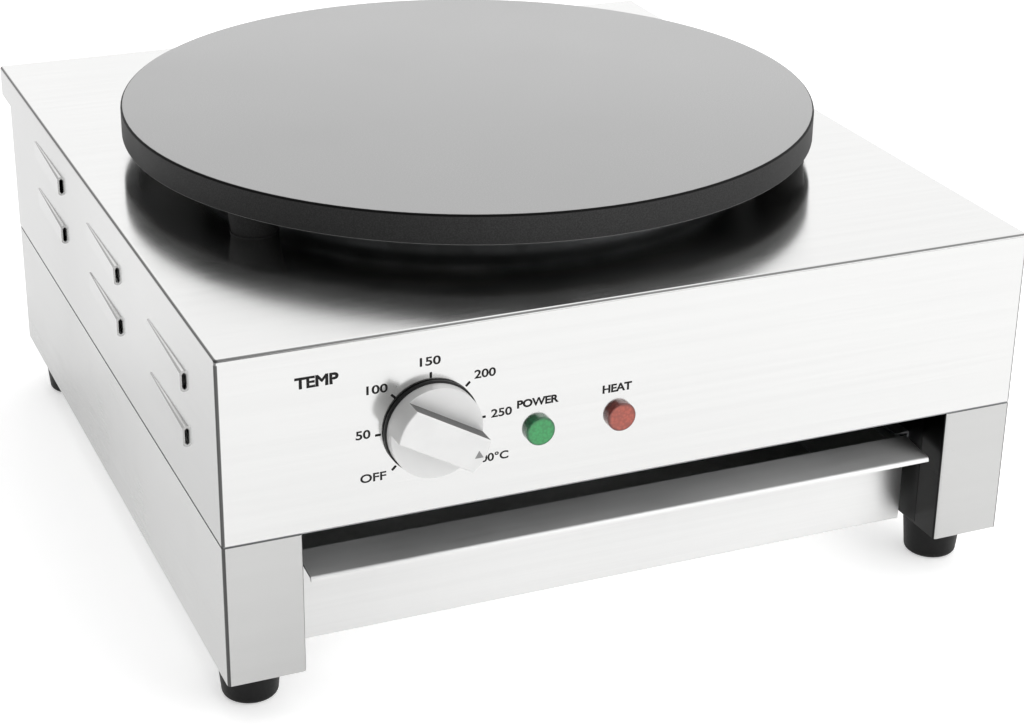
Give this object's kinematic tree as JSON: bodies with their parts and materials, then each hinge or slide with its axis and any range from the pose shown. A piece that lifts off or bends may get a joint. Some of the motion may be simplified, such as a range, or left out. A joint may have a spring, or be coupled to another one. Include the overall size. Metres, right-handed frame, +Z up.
{
  "type": "electric crepe maker",
  "caption": "Countertop crepe maker with a folded stainless body on rubber feet, a round cast-iron plate on short legs, a temperature dial, pilot lamps and a sliding drawer.",
  "frame": {"origin": "under the middle of the whole object's box, at the height that the feet stand on", "axes": "+X to the object's right as seen from the front, -Y to the front with the dial, +Z up"},
  "size_m": [0.4544, 0.51, 0.235],
  "materials": {
    "stainless": "satin brushed stainless sheet",
    "galvanised_sheet": "dull galvanised sheet",
    "dark_sheet": "dark satin coating",
    "cast_iron_plate": "smooth seasoned cast iron",
    "element_sheath": "heat-darkened alloy tube",
    "ceramic_fibre": "pressed fibre board",
    "graphite_gasket": "pressed graphite sheet",
    "zinc_fasteners": "bright zinc plate",
    "brass_parts": "turned brass",
    "control_plastic": "moulded cream resin",
    "black_plastic": "moulded black plastic",
    "silver_knob": "satin silver",
    "bright_steel": "ground steel",
    "copper_tube": "drawn copper",
    "green_lens": "translucent green",
    "red_lens": "translucent red",
    "foot_rubber": "moulded black rubber",
    "brown_insulation": "silicone sleeve",
    "blue_insulation": "silicone sleeve",
    "earth_insulation": "silicone sleeve",
    "white_insulation": "glass-braid sleeve"
  },
  "bodies": {
    "housing": {"upper_casing": "stainless", "left_side_frame": "stainless", "right_side_frame": "stainless", "back_panel": "stainless", "bay_rear_panel": "stainless", "chassis_floor": "galvanised_sheet", "front_support_channel": "galvanised_sheet", "rear_support_channel": "galvanised_sheet", "left_drawer_runner": "galvanised_sheet", "right_drawer_runner": "galvanised_sheet", "heat_shield": "galvanised_sheet", "element_clamp_plate": "galvanised_sheet", "left_bay_wall": "dark_sheet", "right_bay_wall": "dark_sheet", "cooking_plate": "cast_iron_plate", "outer_heating_element": "element_sheath", "inner_heating_element": "element_sheath", "insulation_disc": "ceramic_fibre", "leg_gaskets": "graphite_gasket", "casing_screws": "zinc_fasteners", "casing_nuts": "zinc_fasteners", "rear_panel_screws": "zinc_fasteners", "plate_screws": "zinc_fasteners", "plate_washers": "zinc_fasteners", "clamp_studs": "zinc_fasteners", "clamp_nuts": "zinc_fasteners", "thermostat_screws": "zinc_fasteners", "foot_screws": "zinc_fasteners", "foot_washers": "zinc_fasteners", "foot_nuts": "zinc_fasteners", "runner_rivets": "zinc_fasteners", "lamp_nuts": "zinc_fasteners", "terminal_screws": "brass_parts", "bonding_stud": "brass_parts", "bonding_nuts": "brass_parts", "bonding_washers": "brass_parts", "thermostat_body": "control_plastic", "overheat_cutout": "control_plastic", "lamp_bodies": "control_plastic", "terminal_block": "control_plastic", "gland_body": "black_plastic", "gland_locknut": "black_plastic", "gland_cap": "black_plastic", "thermostat_capillary": "copper_tube", "power_lamp_lens": "green_lens", "heat_lamp_lens": "red_lens", "front_left_foot": "foot_rubber", "rear_left_foot": "foot_rubber", "front_right_foot": "foot_rubber", "rear_right_foot": "foot_rubber", "wire_supply_live": "brown_insulation", "wire_switched_live": "brown_insulation", "wire_neutral": "blue_insulation", "wire_earth": "earth_insulation", "element_link_wires": "white_insulation"},
    "drawer": {"drawer_front": "stainless", "drawer_tray": "stainless"},
    "knob": {"knob_base": "black_plastic", "knob_cap": "silver_knob", "thermostat_shaft": "bright_steel"}
  },
  "joints": [
    {"name": "drawer_slide", "type": "slide", "parent": "housing", "child": "drawer", "axis": [0, -1, 0], "range_m": [0, 0.3]},
    {"name": "knob_turn", "type": "hinge", "parent": "housing", "child": "knob", "pos_m": [-0.1172, -0.235, 0.151], "axis": [0, 1, 0], "range_deg": [-255, 15]}
  ]
}
